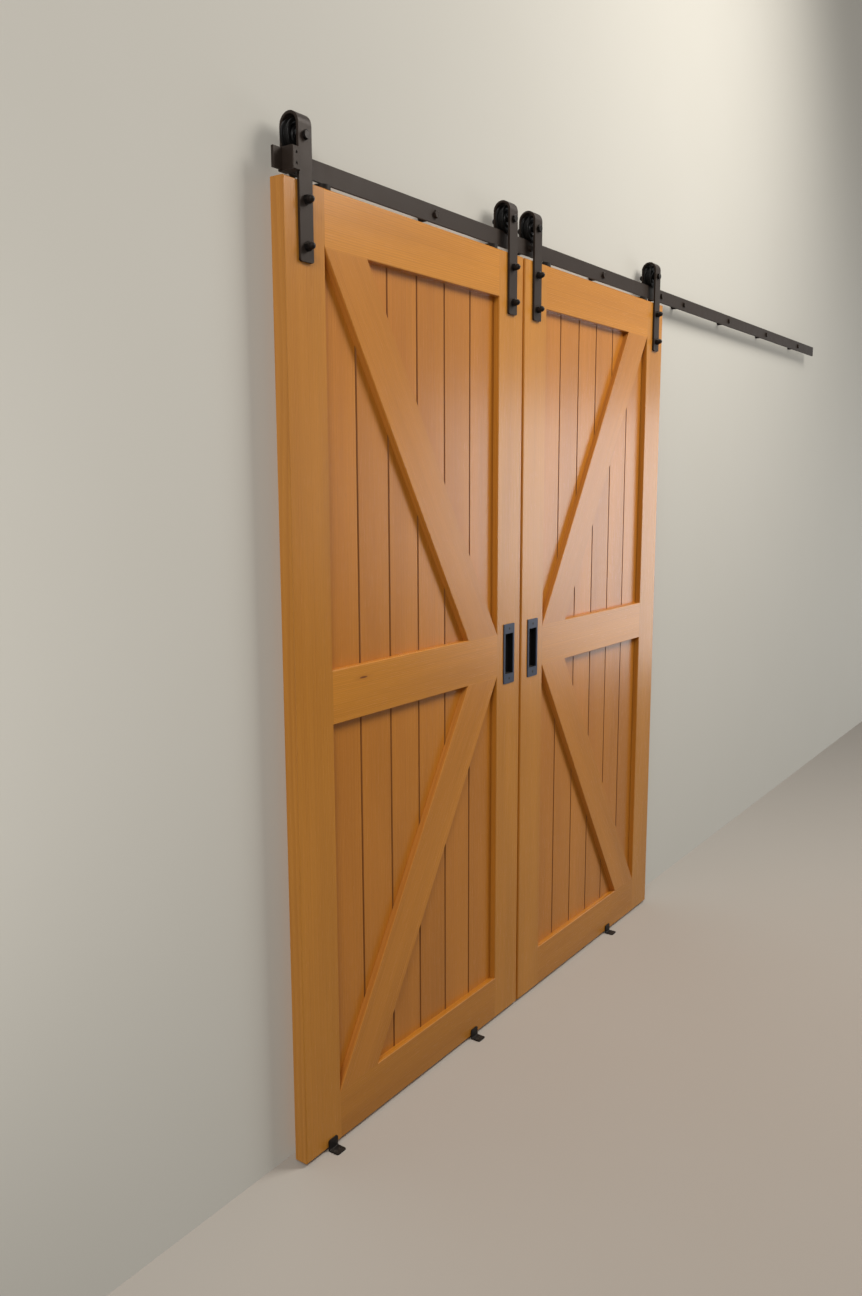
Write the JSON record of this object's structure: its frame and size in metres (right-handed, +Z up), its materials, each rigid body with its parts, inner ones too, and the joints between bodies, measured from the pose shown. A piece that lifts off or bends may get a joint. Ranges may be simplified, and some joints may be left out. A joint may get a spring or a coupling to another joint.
{
  "type": "sliding barn door",
  "caption": "Framed, braced and boarded timber leaves that slide along a flat steel rail on bent strap hangers with grooved wheels, with flush pulls, an end stop and floor guides.",
  "frame": {"origin": "on the wall face, at the axis of the leftmost wall bolt", "axes": "+X to the right along the rail, +Y into the wall, +Z up"},
  "size_m": [3.71, 0.1486, 2.2601],
  "materials": {
    "stile_timber": "clear satin varnish",
    "rail_timber": "clear satin varnish",
    "board_timber": "clear satin varnish",
    "brace_timber": "clear satin varnish",
    "rail_steel": "matt black powder coat",
    "strap_steel": "matt black powder coat",
    "spacer_steel": "matt black powder coat",
    "stop_steel": "matt black powder coat",
    "guide_steel": "matt black powder coat",
    "disc_steel": "matt black powder coat",
    "wheel_steel": "turned steel, satin black",
    "bearing_steel": "ground steel with pressed shields",
    "collar_steel": "blackened steel",
    "bolt_steel": "satin black",
    "nut_steel": "satin black",
    "screw_steel": "satin black",
    "pull_metal": "satin gunmetal"
  },
  "bodies": {
    "rail_frame": {"rail_bar_left": "rail_steel", "rail_bar_right": "rail_steel", "rail_spacers": "spacer_steel", "wall_bolts": "bolt_steel", "end_stop": "stop_steel", "stop_screws": "screw_steel", "floor_guides": "guide_steel", "guide_screws": "screw_steel"},
    "left_leaf": {"left_outer_stile": "stile_timber", "left_meeting_stile": "stile_timber", "left_top_rail": "rail_timber", "left_mid_rail": "rail_timber", "left_bottom_rail": "rail_timber", "left_board_1": "board_timber", "left_board_2": "board_timber", "left_board_3": "board_timber", "left_board_4": "board_timber", "left_board_5": "board_timber", "left_board_6": "board_timber", "left_upper_brace": "brace_timber", "left_lower_brace": "brace_timber", "left_outer_hanger_strap": "strap_steel", "left_inner_hanger_strap": "strap_steel", "left_strap_bolts": "bolt_steel", "left_cap_nuts": "nut_steel", "left_axle_bolts": "bolt_steel", "left_axle_spacers": "collar_steel", "left_anti_jump_discs": "disc_steel", "left_wood_screws": "screw_steel", "left_flush_pull": "pull_metal"},
    "right_leaf": {"right_outer_stile": "stile_timber", "right_meeting_stile": "stile_timber", "right_top_rail": "rail_timber", "right_mid_rail": "rail_timber", "right_bottom_rail": "rail_timber", "right_board_1": "board_timber", "right_board_2": "board_timber", "right_board_3": "board_timber", "right_board_4": "board_timber", "right_board_5": "board_timber", "right_board_6": "board_timber", "right_upper_brace": "brace_timber", "right_lower_brace": "brace_timber", "right_outer_hanger_strap": "strap_steel", "right_inner_hanger_strap": "strap_steel", "right_strap_bolts": "bolt_steel", "right_cap_nuts": "nut_steel", "right_axle_bolts": "bolt_steel", "right_axle_spacers": "collar_steel", "right_anti_jump_discs": "disc_steel", "right_wood_screws": "screw_steel", "right_flush_pull": "pull_metal"},
    "left_outer_roller": {"left_outer_wheel": "wheel_steel", "left_outer_wheel_bearing": "bearing_steel"},
    "left_inner_roller": {"left_inner_wheel": "wheel_steel", "left_inner_wheel_bearing": "bearing_steel"},
    "right_inner_roller": {"right_inner_wheel": "wheel_steel", "right_inner_wheel_bearing": "bearing_steel"},
    "right_outer_roller": {"right_outer_wheel": "wheel_steel", "right_outer_wheel_bearing": "bearing_steel"}
  },
  "joints": [
    {"name": "left_leaf_slide", "type": "slide", "parent": "rail_frame", "child": "left_leaf", "axis": [1, 0, 0], "range_m": [0, 0.922]},
    {"name": "right_leaf_slide", "type": "slide", "parent": "left_leaf", "child": "right_leaf", "axis": [1, 0, 0], "range_m": [-0.0097, 0.922]},
    {"name": "left_outer_wheel_spin", "type": "hinge", "parent": "left_leaf", "child": "left_outer_roller", "pos_m": [-0.032, -0.041, 0.0501], "axis": [0, 1, 0], "continuous": true},
    {"name": "left_inner_wheel_spin", "type": "hinge", "parent": "left_leaf", "child": "left_inner_roller", "pos_m": [0.768, -0.041, 0.0501], "axis": [0, 1, 0], "continuous": true},
    {"name": "right_inner_wheel_spin", "type": "hinge", "parent": "right_leaf", "child": "right_inner_roller", "pos_m": [0.898, -0.041, 0.0501], "axis": [0, 1, 0], "continuous": true},
    {"name": "right_outer_wheel_spin", "type": "hinge", "parent": "right_leaf", "child": "right_outer_roller", "pos_m": [1.698, -0.041, 0.0501], "axis": [0, 1, 0], "continuous": true}
  ],
  "couplings": [
    {"joint": "left_outer_wheel_spin", "follows": "left_leaf_slide", "rad_per_m": 33.333},
    {"joint": "left_inner_wheel_spin", "follows": "left_leaf_slide", "rad_per_m": 33.333},
    {"joint": "right_inner_wheel_spin", "follows": "right_leaf_slide", "rad_per_m": 33.333},
    {"joint": "right_outer_wheel_spin", "follows": "right_leaf_slide", "rad_per_m": 33.333}
  ]
}
